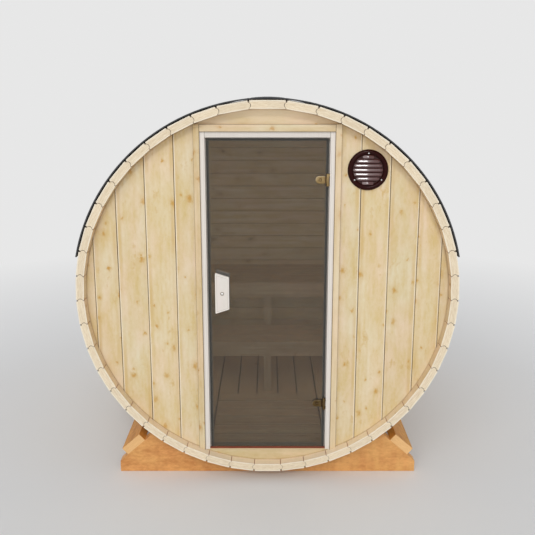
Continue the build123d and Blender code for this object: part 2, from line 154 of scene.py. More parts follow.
def planed_wood(name, lay, pale, warm, knot, knots=0.45, streaks=1.0, end=None, figure=0.5, blots=0.5):
    """Planed softwood. lay(x, y, z) gives the run along the grain, the run across the board from its middle,
    the depth into the board, the board's number and marks on it, each a mask, a colour and a strength.
    knots is the share of the places for a knot that have one; end holds the grain's axis and two end-grain
    colours; figure is a fine mottle, and blots are resin stains."""
    wood = Finish(name)
    along, across, depth, board, marks = lay(*wood.place())
    luck = wood.chance(board)
    other = wood.chance(board + 31.7)

    # Grain: long streaks and year rings, then shorter patches, flecks and smudges.
    streak = wood.noise(along * 1.3 + luck * 53, across * 42, other * 37, 3.0, 0.62)
    patch = wood.noise(along * 1.9 + other * 61, across * 8 + luck * 11, other * 13, 2.0, 0.55)
    mottle = wood.noise(along * 6 + other * 19, across * 17 + luck * 7, depth * 17, 3.0, 0.6)
    fleck = wood.noise(along * 38 + luck * 3, across * 70, depth * 70, 3.0, 0.65)
    smudge = wood.noise(along * 11 + luck * 47, across * 19 + other * 5, board * 2.3, 4.0, 0.6)
    fibre = wood.noise(along * 9 + other * 41, across * 330, depth * 330, 1.0, 0.5)
    flush = wood.noise(along * 2.7 + luck * 43, across * 7 + other * 9, luck * 21, 2.0, 0.5)
    heart = 0.012 + 0.05 * wood.noise(along * 0.75 + other * 29, luck * 17, 0.0, 1.0)
    off = across - (luck - 0.5) * 0.07
    ring = (span(off, heart) * 390 + streak * 3).op("SINE") * 0.5 + 0.5

    # Knots: one place in each cell of a ragged net, of its own size and darkness.
    ragged = wood.noise(along * 34, across * 48, board * 5.3, 2.0, 0.6)
    smear = wood.noise(along * 41 + 9.2, across * 52, board * 7.1, 2.0, 0.6)
    knot_along = along * 6.6 + luck * 67 + (ragged - 0.5) * 0.26
    knot_across = across * 9.0 + other * 23 + (smear - 0.5) * 0.26
    spot = wood.node("ShaderNodeCombineXYZ", {}, {0: knot_along, 1: knot_across, 2: 0.0})
    net = {"voronoi_dimensions": "2D"}
    reach = wood.node("ShaderNodeTexVoronoi", net, {"Vector": spot, "Scale": 1.0}, "Distance")
    cell = wood.node("ShaderNodeTexVoronoi", net, {"Vector": spot, "Scale": 1.0}, "Color")
    size = 0.052 + 0.085 * wood.node("ShaderNodeSeparateXYZ", {}, {0: cell}, "X") ** 1.6
    there = wood.node("ShaderNodeSeparateXYZ", {}, {0: cell}, "Y") > 1 - knots
    darkness = 0.6 + 0.4 * wood.node("ShaderNodeSeparateXYZ", {}, {0: cell}, "Z")
    core = ((size - reach) / (size * 0.75)).clamp() * there * darkness
    halo = (1 - reach / (size * 3.2)).clamp() ** 2 * there * darkness

    cream = (pale[0] * 0.995, pale[1] * 1.045, pale[2] * 1.05)
    rose = (pale[0] * 1.03, pale[1] * 0.975, pale[2] * 0.995)
    resin = tuple(0.55 * w + 0.45 * k for w, k in zip(warm, knot))
    share = (streak - 0.5) * 0.8 * streaks + (ring - 0.5) * 0.12 * streaks + (mottle - 0.5) * 1.9 + 0.42
    share = share + (fleck - 0.5) * figure
    stained = (halo * 0.9).op("MAXIMUM", ((smudge - 0.615) * 7).clamp() * blots)
    board_tone = 0.965 + 0.07 * luck
    colour = wood.blend(wood.blend(pale, cream, (patch * 3 - 1).clamp()), rose, (flush * 4.5 - 1.8).clamp())
    colour = wood.blend(colour, warm, share.clamp())
    colour = wood.blend(colour, resin, stained)
    colour = wood.blend(colour, knot, core * 0.95)
    colour = wood.dim(colour, board_tone)
    if end:
        axis, end_pale, end_warm = end
        deep = depth + 0.03 + 0.05 * other
        year = (span(off, deep) * 1150).op("SINE") * 0.5 + 0.5
        saw = wood.noise(across * 30 + luck * 31, depth * 260, other * 19, 3.0, 0.65)
        ends = wood.blend(end_pale, end_warm, (year * 0.2 + (saw - 0.5) * 1.9 + 0.33).clamp())
        colour = wood.blend(colour, wood.dim(ends, board_tone), wood.facing(axis) > 0.7)
    for mask, shade, strength in marks:
        colour = wood.blend(colour, shade, mask * strength)
    wood.feed("Base Color", colour)
    wood.feed("Roughness", 0.52 + 0.18 * streak)
    wood.bump(ring * 0.4 + fibre + core * 0.5, 0.15, 0.0006)
    return wood.material


def dress(material, *names):
    for name in names:
        nodes[name].material_slots[0].material = material


def side_of(value):
    """A board number that differs on the two sides of zero."""
    return (value > 0) * 7 + 3


cradle_middle = 0.12
cradle_pale, cradle_warm, cradle_knot = (0.755, 0.375, 0.12), (0.52, 0.20, 0.049), (0.38, 0.14, 0.035)
cradle_pale_bands = (0.86, 0.515, 0.175)
cradle_ends = ("X", (0.74, 0.42, 0.16), (0.6, 0.3, 0.1))


def cradle_lay(x, y, z):
    # Paler bands over each cradle, weak on its left half and stronger towards its right end.
    band = x.finish.noise(x * 19, z * 3, y * 3, 2.0) * 2.6 - 0.85
    to_the_right = (x * 2).clamp() * 0.75 + 0.25
    return x, z - cradle_middle, y, side_of(y), [(band.clamp() * to_the_right, cradle_pale_bands, 0.5)]


cradle_wood = planed_wood("cradle_wood", cradle_lay, cradle_pale, cradle_warm, cradle_knot,
                          knots=0.1, streaks=0.5, end=cradle_ends, figure=1.6, blots=0.25)
dress(cradle_wood, "front_cradle", "rear_cradle")


# Rails: two square timbers that run the length of the stand, laid flat on the cradles' sloping shoulders.
# They are the same oiled wood, a little darker, with paler sawn ends.
rail_reach, rail_height = 0.74, 0.17
rail_rise_share, rail_run_share = 0.66, 0.75
rail_pale, rail_warm = (0.74, 0.355, 0.065), (0.47, 0.175, 0.024)
rail_ends = ("Y", (0.9, 0.56, 0.25), (0.74, 0.42, 0.16))


def rail_lay(x, y, z):
    out = abs(x) - rail_reach
    up = z - rail_height
    across = up * rail_rise_share - out * rail_run_share
    return y, across, up * rail_run_share + out * rail_rise_share, side_of(x) + 20, []


rail_wood = planed_wood("rail_wood", rail_lay, rail_pale, rail_warm, cradle_knot,
                        knots=0.2, streaks=0.9, end=rail_ends, figure=1.2)
dress(rail_wood, "left_rail", "right_rail")


# The barrel: flat spruce staves left bare, with a bead on one edge that sits in a cove of the next.
# Their sawn ends show at both ends of the barrel, paler than the faces, with fine dark joints between.
axis_height = 1.05407
stave_turn = math.radians(360 / 46.97)
floor_half = stave_turn * 0.56
crown_edge = floor_half + 22.22 * stave_turn
last_side_stave = 21
stave_middle = 0.964
bead_bend, bead_depth = 0.013889, 0.009
inner_face = -0.0185
outer_chamfer, inner_chamfer = 0.0125, -0.0165
stave_end, lip_start = 1.0245, 0.95
stave_pale, stave_warm, stave_knot = (0.80, 0.635, 0.42), (0.69, 0.51, 0.29), (0.46, 0.25, 0.08)
stave_ends = ("Y", (0.925, 0.805, 0.605), (0.665, 0.51, 0.325))
lip_painted_light, arris_highlight = (0.94, 0.785, 0.58), (0.95, 0.88, 0.745)
seam_dark, lip_seam, room_seam = (0.095, 0.055, 0.03), (0.42, 0.17, 0.09), (0.03, 0.015, 0.008)


def stave_lay(x, y, z):
    drop = axis_height - z
    radius = span(x, drop)
    turn = x.op("ARCTAN2", drop)
    depth = radius - stave_middle
    bead = (bead_bend**2 - depth * depth).op("MAXIMUM", 0.0).op("SQRT") - (bead_bend - bead_depth)
    edge = abs(turn) - bead.op("MAXIMUM", 0.0) / radius
    steps = (edge - floor_half) / stave_turn
    plain = steps.op("FLOOR").op("MINIMUM", last_side_stave) + 1
    crown = edge > crown_edge
    near = abs(steps - steps.op("ROUND")) * stave_turn + (steps > last_side_stave + 0.6)
    gap = near.op("MINIMUM", abs(edge - crown_edge)) * radius
    at_end = abs(y) > stave_end
    lip = (depth < -0.012) * (abs(y) > lip_start) * (abs(y) < stave_end)
    indoors = (depth < inner_face) * (abs(y) < lip_start)
    # Painted shade: the joint lines widen where the chamfers leave a notch, at the outer edge and at the
    # inner edge of the ends.
    outer_notch_shade = ((depth - outer_chamfer) * 420).clamp() * 2.6
    inner_notch_shade = ((inner_chamfer - depth) * 420).clamp() * at_end * 1.6
    wider = 2.2 * (depth < inner_face) * (y > -lip_start)
    seam = (1.9 + wider + outer_notch_shade + inner_notch_shade - gap * 1000 / 1.1).clamp()
    fading = at_end * ((drop - 0.55) * 3).clamp() * (depth < outer_chamfer)
    # Painted highlight along the inner and outer edges of the sawn ends.
    arris_highlight_mask = (abs(depth) > 0.0155) * at_end
    # Painted light: the lip grows lighter towards the bottom, where it faces up.
    marks = [(lip * ((drop - 0.45) * 2.5).clamp(), lip_painted_light, 0.6), (arris_highlight_mask, arris_highlight, 0.55),
             (seam * (1 - 0.5 * fading), seam_dark, 0.9), (seam * lip, lip_seam, 1.0),
             (seam * indoors, room_seam, 1.0)]
    number = (plain + crown) * turn.op("SIGN") + 40
    return y, (steps - plain + 0.5) * 0.13, depth, number, marks


stave_wood = planed_wood("stave_wood", stave_lay, stave_pale, stave_warm, stave_knot,
                         knots=0.35, streaks=0.8, end=stave_ends)
dress(stave_wood, "floor_staves", "crown_staves", "left_lower_staves", "left_side_staves",
      "left_upper_staves", "right_lower_staves", "right_side_staves", "right_upper_staves")


# Hoops: three flat steel bands that draw the staves together. They pass under the roof covering.
# Low on each side, a bolt through two lugs welded to the band pulls it tight.
hoop_steel = Finish("hoop_steel", Metallic=1.0)
x, y, z = hoop_steel.place()
brushing = hoop_steel.noise(y * 900, (x + z) * 9, 0.0, 2.0)
hoop_steel.feed("Base Color", hoop_steel.blend((0.42, 0.43, 0.44), (0.62, 0.63, 0.64), brushing))
hoop_steel.feed("Roughness", 0.28 + 0.2 * brushing)
dress(hoop_steel.material, "hoops")


def pick(piece, where):
    """Selects the vertices whose place passes a test, in edit mode."""
    bpy.ops.object.mode_set(mode="OBJECT")
    for part in list(piece.data.edges) + list(piece.data.polygons):
        part.select = False
    for vertex in piece.data.vertices:
        vertex.select = bool(where(vertex.co))
    bpy.ops.object.mode_set(mode="EDIT")
    bpy.ops.mesh.select_mode(type="VERT")


def extrude(x, y, z):
    bpy.ops.mesh.extrude_region_move(TRANSFORM_OT_translate={"value": (x, y, z)})


def settle():
    """Puts the active piece's place and size into its mesh."""
    bpy.ops.object.transform_apply(location=True, rotation=True, scale=True)
    return bpy.context.object


def joined(name, pieces):
    bpy.ops.object.select_all(action="DESELECT")
    for piece in pieces:
        piece.select_set(True)
    bpy.context.view_layer.objects.active = pieces[0]
    bpy.ops.object.join()
    whole = bpy.context.object
    whole.name = name
    return whole


def repeat(first, name, moves):
    """Copies of a piece, each with its own mesh moved by a matrix, joined as one; the first goes."""
    made = []
    for move in moves:
        copy = first.copy()
        copy.data = first.data.copy()
        copy.data.transform(move)
        bpy.context.scene.collection.objects.link(copy)
        made.append(copy)
    bpy.data.objects.remove(first)
    return joined(name, made)


def coat(piece, material, body):
    piece.data.materials.clear()
    piece.data.materials.append(material)
    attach(piece, body)


def round_the_barrel(turn, y, radius):
    """The matrix that stands a piece on the barrel, at a turn in degrees from its top."""
    to_axis = Matrix.Translation((0, y, axis_height)) @ Matrix.Rotation(math.radians(turn), 4, "Y")
    return to_axis @ Matrix.Translation((0, 0, radius))


hoop_radius = 0.9912
hoop_places = (-0.695, 0.0, 0.695)
tightener_turns = (156, -156)
lug_reach, lug_middle = 0.02, 0.010
lug_size = (0.005, 0.028, 0.026)
bolt_height, bolt_length = 0.014, 0.05
nut_radius, nut_depth, nut_reach = 0.0075, 0.006, 0.0255
bpy.ops.object.select_all(action="DESELECT")
bpy.ops.mesh.primitive_cube_add(size=1, location=(-lug_reach, 0, lug_middle))
bpy.context.object.scale = lug_size
lug = settle()
bpy.ops.object.mode_set(mode="EDIT")
pick(lug, lambda spot: spot.z > 2 * lug_middle)
bpy.ops.transform.resize(value=(0.7, 0.62, 1), center_override=(-lug_reach, 0, 0))
bpy.ops.mesh.select_all(action="SELECT")
bpy.ops.mesh.bevel(offset=0.0012, segments=2, affect="EDGES")
bpy.ops.object.mode_set(mode="OBJECT")
bpy.ops.object.select_all(action="DESELECT")
bpy.ops.mesh.primitive_cylinder_add(vertices=6, radius=nut_radius, depth=nut_depth,
                                    location=(-nut_reach, 0, bolt_height), rotation=(0, math.pi / 2, 0))
bolt = settle()
bpy.ops.object.mode_set(mode="EDIT")
pick(bolt, lambda spot: spot.x > -nut_reach)
bpy.ops.mesh.select_mode(type="FACE")
bpy.ops.mesh.inset(thickness=0.0033)
extrude(bolt_length, 0, 0)
extrude(0.0005, 0, 0)
bpy.ops.transform.resize(value=(1, 0.8, 0.8), center_override=(0, 0, bolt_height))
bpy.ops.object.mode_set(mode="OBJECT")
lug_pair = repeat(lug, "lug_pair", [Matrix.Identity(4), Matrix.Translation((2 * lug_reach, 0, 0))])
tightener = joined("tightener", [lug_pair, bolt])
tightener_moves = [round_the_barrel(turn, y, hoop_radius) for y in hoop_places for turn in tightener_turns]
coat(repeat(tightener, "hoop_tighteners", tightener_moves), hoop_steel.material, "cabin")


# Roof covering: three strips of black mineral felt laid along the barrel, over the crown and down both sides.
# Bitumen bonds them where they meet, and broad zinc nails hold the edges all round.
felt_joint = math.radians(26)
roof_radius = 0.9974
roof_felt = Finish("roof_felt", Specular_IOR_Level=0.35)
x, y, z = roof_felt.place()
grit = roof_felt.noise(x * 700, y * 700, z * 700, 2.0, 0.7)
cloud = roof_felt.noise(x * 3, y * 3, z * 3, 3.0)
gritted = (grit * 1.7 - 0.5 + cloud * 0.25).clamp()
felt = roof_felt.blend((0.016, 0.016, 0.017), (0.10, 0.10, 0.105), gritted)
cut_edge = roof_felt.blend((0.035, 0.035, 0.036), (0.085, 0.085, 0.086), grit)
lap = (abs(x.op("ARCTAN2", z - axis_height)) - felt_joint) * 0.9975
bitumen = ((lap > 0.0015) * (lap < 0.011)).op("MAXIMUM", abs(lap) < 0.0016)
felt = roof_felt.blend(felt, (0.009, 0.009, 0.0095), bitumen * 0.85)
roof_felt.feed("Base Color", roof_felt.blend(felt, cut_edge, roof_felt.facing("Y") > 0.7))
roof_felt.feed("Roughness", 0.7 + 0.25 * grit - 0.25 * bitumen)
roof_felt.bump(grit + cloud * 2, 0.35, 0.001)
dress(roof_felt.material, "roof_cover")

zinc = Finish("zinc", Metallic=1.0)
x, y, z = zinc.place()
spangle = zinc.noise(x * 900, y * 900, z * 900, 2.0)
zinc.feed("Base Color", zinc.blend((0.66, 0.66, 0.65), (0.88, 0.88, 0.86), spangle))
zinc.feed("Roughness", 0.25 + 0.2 * spangle)
nail_radius, nail_rim, nail_crown = 0.005, 0.0018, 0.0006
long_rows, row_start, row_pitch, row_nails = (-76.4, -24.6, 24.6, 76.4), -0.96, 0.12, 17
end_rows, end_start, end_pitch, end_nails = (-1.008, 1.008), 5, 7.05, 11
bpy.ops.object.select_all(action="DESELECT")
bpy.ops.mesh.primitive_cylinder_add(vertices=10, radius=nail_radius, depth=0.0008, location=(0, 0, 0.0002))
nail = settle()
bpy.ops.object.mode_set(mode="EDIT")
pick(nail, lambda spot: spot.z > 0)
bpy.ops.mesh.select_mode(type="FACE")
bpy.ops.mesh.inset(thickness=nail_rim)
bpy.ops.transform.translate(value=(0, 0, nail_crown))
bpy.ops.object.mode_set(mode="OBJECT")
nail_moves = []
for turn in long_rows:
    nail_moves += [round_the_barrel(turn, row_start + row_pitch * number, roof_radius)
                   for number in range(row_nails)]
for y in end_rows:
    nail_moves += [round_the_barrel(side * (end_start + end_pitch * number), y, roof_radius)
                   for side in (-1, 1) for number in range(end_nails)]
coat(repeat(nail, "roof_nails", nail_moves), zinc.material, "cabin")


# Front wall: upright tongued boards of knotty spruce, let into a groove in the staves beside the doorway.
# Each joint is a narrow V: a dark line, with a painted highlight on the arris on the side towards the door.
wall_face = -0.970
wall_joints = (0.471, 0.621, 0.771, 0.896)
wall_middles = (0.421, 0.546, 0.696, 0.834, 0.92)
joint_dark, joint_highlight, joint_stain = (0.125, 0.063, 0.022), (1.0, 0.92, 0.74), (0.64, 0.42, 0.15)
groove_shade = (0.36, 0.21, 0.095)
wall_pale, wall_warm, wall_knot = (0.782, 0.648, 0.447), (0.672, 0.50, 0.212), (0.58, 0.31, 0.058)


def front_wall_lay(x, y, z):
    reach = abs(x)
    height = z - axis_height
    number = x * 0
    middle = x * 0 + wall_middles[0]
    dark = x * 0
    light = x * 0
    stain = x * 0
    for i in range(len(wall_joints)):
        past = reach - wall_joints[i]
        number = number + (past > 0)
        middle = middle + (past > 0) * (wall_middles[i + 1] - wall_middles[i])
        dark = dark + (past > -0.0007) * (past < 0.003)
        light = light + (past > -0.0055) * (past < -0.0007)
        stain = stain.op("MAXIMUM", (1 - abs((abs(past) - 0.014) / 0.014)).clamp())
    number = number + (x > 0) * 9 + 5
    worn = (x.finish.noise(z * 2.6, reach * 9, number * 3.7, 2.0) * 3.2 - 1.3).clamp()
    let_in = ((span(reach, height) - 0.9355) / 0.006).clamp()
    # light is a painted highlight on the arris beside each joint.
    marks = [(stain * worn, joint_stain, 0.75), (light, joint_highlight, 0.85),
             (dark * (0.62 + 0.38 * worn), joint_dark, 0.95), (let_in, groove_shade, 0.55)]
    return z, reach - middle, y, number, marks


wall_wood = planed_wood("wall_wood", front_wall_lay, wall_pale, wall_warm, wall_knot,
                        knots=0.9, streaks=0.6, figure=0.7, blots=0.9)
dress(wall_wood, "front_wall_left", "front_wall_right")


# Lintel and sill: two short level boards that close the wall over and under the doorway.
# They are the same spruce, let into the same groove in the staves; the sill's darker colours are painted
# shade.
cross_middle = 0.9
lintel_pale, lintel_warm = (0.80, 0.655, 0.44), (0.72, 0.545, 0.285)
sill_shaded_pale, sill_shaded_warm = (0.685, 0.56, 0.34), (0.56, 0.425, 0.20)
lintel_painted_light = (1.0, 0.86, 0.63)


def cross_lay(x, y, z):
    height = z - axis_height
    # Painted light: the lintel grows lighter towards its top, against the shadow under the barrel's rim.
    top = ((height - 0.897) * 30).clamp()
    let_in = ((span(x, height) - 0.9365) / 0.006).clamp()
    marks = [(top, lintel_painted_light, 0.7), (let_in, groove_shade, 0.5)]
    return x, abs(height) - cross_middle, y, side_of(height) + 40, marks


dress(planed_wood("lintel_wood", cross_lay, lintel_pale, lintel_warm, wall_knot, knots=0.95), "wall_lintel")
dress(planed_wood("sill_wood", cross_lay, sill_shaded_pale, sill_shaded_warm, wall_knot, knots=0.95, streaks=1.4,
                  figure=0.8), "wall_sill")


# Vent cover: a round grille moulded in glossy dark brown plastic, over the hole in the right-hand boards.
# Seven flat louvres, each with a slight ridge at its middle, stand in a rolled rim before a fly screen.
# Three screws hold it to the wall.
vent_x, vent_height, vent_radius, louvre_radius = 0.5045, 1.6961, 0.1025, 0.0765
rim_width, rim_depth = vent_radius - louvre_radius, 0.014
bpy.ops.object.select_all(action="DESELECT")
bpy.ops.mesh.primitive_circle_add(vertices=16, radius=1,
                                  location=(vent_x + louvre_radius + rim_width / 2, wall_face, vent_height))
bpy.context.object.scale = (rim_width / 2, rim_depth, 1)
rim = settle()
bpy.ops.object.mode_set(mode="EDIT")
pick(rim, lambda spot: spot.y > wall_face + 0.0001)
bpy.ops.mesh.delete(type="VERT")
bpy.ops.mesh.select_all(action="SELECT")
bpy.ops.mesh.spin(steps=64, angle=2 * math.pi, center=(vent_x, wall_face, vent_height), axis=(0, 1, 0))
bpy.ops.mesh.select_all(action="SELECT")
bpy.ops.mesh.remove_doubles(threshold=0.00005)
bpy.ops.mesh.normals_make_consistent(inside=False)
bpy.ops.object.mode_set(mode="OBJECT")
bpy.ops.object.shade_smooth()
rim.name = "vent_cover"


def moulded_plastic(name, gloss, roughness, dark, light):
    plastic = Finish(name, Specular_IOR_Level=gloss)
    x, y, z = plastic.place()
    mould = plastic.noise(x * 240, y * 240, z * 240, 3.0)
    plastic.feed("Base Color", plastic.blend(dark, light, mould))
    plastic.feed("Roughness", roughness + 0.08 * mould)
    plastic.bump(mould, 0.06, 0.0004)
    return plastic.material


rim_plastic = moulded_plastic("rim_plastic", 0.1, 0.18, (0.018, 0.0024, 0.002), (0.031, 0.0046, 0.0036))
coat(rim, rim_plastic, "cabin")
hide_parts("vent_grille")

slat_half_height, slat_half_depth, slat_lean = 0.0094, 0.0016, -20
slat_tip_share = 0.45
slat_steps = ((0.03, 0.85, -0.0002), (0.07, 1.0, -0.0005), (0.15, 1.0, -0.0017), (0.19, 1.0, -0.0032),
              (0.06, 1.0, -0.0034), (0.06, 1.0, -0.0032), (0.19, 1.0, -0.0017), (0.15, 1.0, -0.0005),
              (0.07, 0.85, -0.0002), (0.03, slat_tip_share, 0.0))
louvre_count, louvre_setback, louvre_gap = 7, 0.0042, 0.006
bpy.ops.object.select_all(action="DESELECT")
bpy.ops.mesh.primitive_circle_add(vertices=16, radius=1, fill_type="NGON", rotation=(0, math.pi / 2, 0))
bpy.context.object.scale = (slat_half_height, slat_half_depth, 1)
slat = settle()
slat.rotation_euler = (math.radians(slat_lean), 0, 0)
settle()
bpy.ops.object.mode_set(mode="EDIT")
bpy.ops.mesh.select_all(action="SELECT")
bpy.ops.transform.translate(value=(-0.5, 0, 0))
bpy.ops.transform.resize(value=(1, slat_tip_share, slat_tip_share), center_override=(-0.5, 0, 0))
swell, front = slat_tip_share, 0.0
for step, next_swell, next_front in slat_steps:
    extrude(step, next_front - front, 0)
    grow = next_swell / swell
    bpy.ops.transform.resize(value=(1, grow, grow), center_override=(0, next_front, 0))
    swell, front = next_swell, next_front
bpy.ops.mesh.select_all(action="SELECT")
bpy.ops.mesh.normals_make_consistent(inside=False)
bpy.ops.object.mode_set(mode="OBJECT")
louvre_pitch = 2 * louvre_radius / louvre_count
louvre_moves = []
for number in range(louvre_count):
    level = (number - (louvre_count - 1) / 2) * louvre_pitch
    length = 2 * math.sqrt(louvre_radius**2 - (abs(level) + 0.004) ** 2) - louvre_gap
    place = Matrix.Translation((vent_x, wall_face - louvre_setback, vent_height + level))
    louvre_moves.append(place @ Matrix.Diagonal((length, 1, 1, 1)))
vent_louvres = repeat(slat, "vent_louvres", louvre_moves)
bpy.ops.object.shade_smooth_by_angle(angle=math.radians(40))
louvre_plastic = moulded_plastic("louvre_plastic", 0.9, 0.08, (0.062, 0.012, 0.010), (0.09, 0.02, 0.017))
coat(vent_louvres, louvre_plastic, "cabin")

bpy.ops.object.select_all(action="DESELECT")
bpy.ops.mesh.primitive_circle_add(vertices=48, radius=louvre_radius + 0.004, fill_type="NGON",
                                  location=(vent_x, wall_face - 0.0004, vent_height),
                                  rotation=(math.pi / 2, 0, 0))
fly_screen = settle()
bpy.ops.object.mode_set(mode="EDIT")
bpy.ops.mesh.select_all(action="SELECT")
bpy.ops.mesh.inset(thickness=0.006)
bpy.ops.object.mode_set(mode="OBJECT")
fly_screen.name = "fly_screen"
# The screen's near black red-brown is painted shade: it stands for the dark behind the louvres.
screen_mesh = Finish("screen_mesh", Roughness=0.8)
x, y, z = screen_mesh.place()
wires = ((x * 2600).op("SINE").op("MAXIMUM", (z * 2600).op("SINE")) * 0.5 + 0.5) ** 3
screen_mesh.feed("Base Color", screen_mesh.blend((0.018, 0.0035, 0.0025), (0.06, 0.014, 0.010), wires))
screen_mesh.bump(wires, 0.4, 0.0005)
coat(fly_screen, screen_mesh.material, "cabin")


def screw_head(radius):
    """A low round head with a hollow in it, standing on the origin and facing up."""
    bpy.ops.object.select_all(action="DESELECT")
    bpy.ops.mesh.primitive_cylinder_add(vertices=14, radius=radius, depth=radius * 0.5,
                                        location=(0, 0, radius * 0.25))
    head = settle()
    bpy.ops.object.mode_set(mode="EDIT")
    pick(head, lambda spot: spot.z > radius * 0.4)
    bpy.ops.mesh.select_mode(type="FACE")
    bpy.ops.transform.resize(value=(0.78, 0.78, 1), center_override=(0, 0, 0))
    bpy.ops.mesh.inset(thickness=radius * 0.36)
    extrude(0, 0, -radius * 0.3)
    bpy.ops.object.mode_set(mode="OBJECT")
    return head


towards_front = Matrix.Rotation(math.radians(90), 4, "X")
vent_screw_radius, vent_screw_reach = 0.0042, louvre_radius + 0.007
vent_screw_moves = []
for turn in (90, 216, 324):
    aside = vent_screw_reach * math.cos(math.radians(turn))
    up = vent_screw_reach * math.sin(math.radians(turn))
    spot = Matrix.Translation((vent_x + aside, wall_face - 0.0122, vent_height + up))
    vent_screw_moves.append(spot @ towards_front)
vent_screws = repeat(screw_head(vent_screw_radius), "vent_screws", vent_screw_moves)
coat(vent_screws, zinc.material, "cabin")


# Posts beside the doorway and the board over it: yellower, straight-grained spruce fixed over the wall.
# They stand a little proud of it and hide the boards' cut edges.
post_middle, head_middle = 0.3545, 1.903
post_pale, post_warm, post_knot = (0.78, 0.625, 0.40), (0.64, 0.455, 0.21), (0.54, 0.26, 0.05)
right_post_tint = (0.82, 0.69, 0.50)
head_pale, head_warm = (0.79, 0.65, 0.44), (0.65, 0.48, 0.24)


def post_lay(x, y, z):
    across = abs(x) - post_middle
    # The dark lines along the edges are the joints and painted shade where the post stands proud.
    marks = [(x > 0, right_post_tint, 0.3), (across < -0.0134, joint_dark, 0.8),
             (across > 0.0146, joint_dark, 0.55)]
    return z, across, y, side_of(x) + 60, marks


def head_lay(x, y, z):
    across = z - head_middle
    # The dark lines along the edges are the joints and painted shade where the board stands proud.
    marks = [(across < -0.0156, joint_dark, 0.7), (across > 0.0158, joint_dark, 0.6)]
    return x, across, y, x * 0 + 83, marks


post_wood = planed_wood("post_wood", post_lay, post_pale, post_warm, post_knot, knots=0.6, streaks=1.6)
dress(post_wood, "left_post", "right_post")
head_wood = planed_wood("head_wood", head_lay, head_pale, head_warm, post_knot, knots=0.6, streaks=1.6)
dress(head_wood, "head_board")


# Door frame: planed timber painted white, with the grain just showing through.
# The head is cut in between the jambs, and each jamb shows a fine bead along its face as a thin painted shade
# line.
jamb_inside, head_underside, bead_place = 0.314, 1.857, 0.3205
frame_paint = Finish("frame_paint")
x, y, z = frame_paint.place()
reach = abs(x)
brush = frame_paint.noise(x * 160, y * 160, z * 1.5, 3.0)
butt = (abs(reach - jamb_inside) < 0.0013) * (z > head_underside)
# bead marks the painted shade line of the jamb's bead; butt is the joint at the head.
bead = (abs(reach - bead_place) < 0.0014) * (z < head_underside)
paint = frame_paint.blend((0.79, 0.725, 0.65), (0.90, 0.845, 0.78), brush)
# Painted shade: the paint on the frame head is dimmed.
paint = frame_paint.dim(paint, 1 - 0.13 * (z > head_underside) * (reach < jamb_inside))
paint = frame_paint.blend(paint, (0.30, 0.27, 0.23), butt.op("MAXIMUM", bead * 0.32))
frame_paint.feed("Base Color", paint)
frame_paint.feed("Roughness", 0.38 + 0.15 * brush)
frame_paint.bump(brush, 0.1, 0.0005)
dress(frame_paint.material, "left_jamb", "right_jamb", "frame_head")


# Door seal: a grey rubber strip pressed onto the frame's stop, up both sides and across the head.
# The pane closes against it.
seal_rubber = Finish("seal_rubber", Roughness=0.7)
x, y, z = seal_rubber.place()
dust = seal_rubber.noise(x * 40, y * 40, z * 40)
# Painted light: the grey is lighter than the rubber's own, to make up for the shade under the frame head.
seal_rubber.feed("Base Color", seal_rubber.blend((0.51, 0.48, 0.445), (0.62, 0.585, 0.545), dust))
dress(seal_rubber.material, "door_seal")


# Threshold: a thin wooden strip laid on the sill under the pane.
# It is stained red on top and bare along its front edge.
threshold_middle = -0.96
threshold_red, threshold_deep, threshold_knot = (0.36, 0.075, 0.04), (0.27, 0.05, 0.025), (0.12, 0.03, 0.015)
threshold_edge = ("Y", (0.72, 0.56, 0.35), (0.60, 0.43, 0.22))


def threshold_lay(x, y, z):
    return x, y - threshold_middle, z, x * 0 + 91, []


threshold_stain = planed_wood("threshold_stain", threshold_lay, threshold_red, threshold_deep, threshold_knot,
                              knots=0.0, end=threshold_edge)
dress(threshold_stain, "threshold")


# The door: one pane of bronze-tinted safety glass with ground edges.
# It hangs on two hinges and has no frame of its own.
tinted_glass = Finish("tinted_glass", Roughness=0.03, IOR=1.45, Specular_IOR_Level=0.15, Alpha=0.62)
x, y, z = tinted_glass.place()
haze = tinted_glass.noise(x * 2, y * 2, z * 2)
tinted_glass.feed("Base Color", tinted_glass.blend((0.053, 0.053, 0.048), (0.061, 0.060, 0.055), haze))
dress(tinted_glass.material, "door_glass")


# Hinges: satin brass, each with a leaf and pin fixed to the jamb and a rounded clamp on the glass.
# A screw through the clamp grips the pane. Both hinges have a little tarnish, and the lower hinge is painted
# darker as painted shade.
upper_hinge, lower_hinge = 1.6460, 0.4407
clamp_screw, clamp_rounding, clamp_half, knuckle_gap = 0.266, 0.2615, 0.0185, 0.2925
hinge_brass = Finish("hinge_brass", Metallic=1.0)
x, y, z = hinge_brass.place()
lower = z < 1.0
height = z - upper_hinge + lower * (upper_hinge - lower_hinge)
rub = hinge_brass.noise(x * 60, y * 60, z * 400, 2.0)
inside_edge = clamp_half - span((x - clamp_rounding).op("MINIMUM", 0.0), height)
# Painted highlight along the clamp's upper edge; below, painted shade darkens the clamp's lower half.
upper_edge_highlight = (inside_edge < 0.0032) * (height > -0.004) * (x < 0.2905)
# Light tarnish from noise on both hinges, plus painted shade over the whole lower hinge.
tarnish_and_shade = (hinge_brass.noise(x * 90, y * 90, z * 90, 3.0) * 1.5 - 0.6 + lower * 0.95).clamp()
from_screw = span(x - clamp_screw, height)
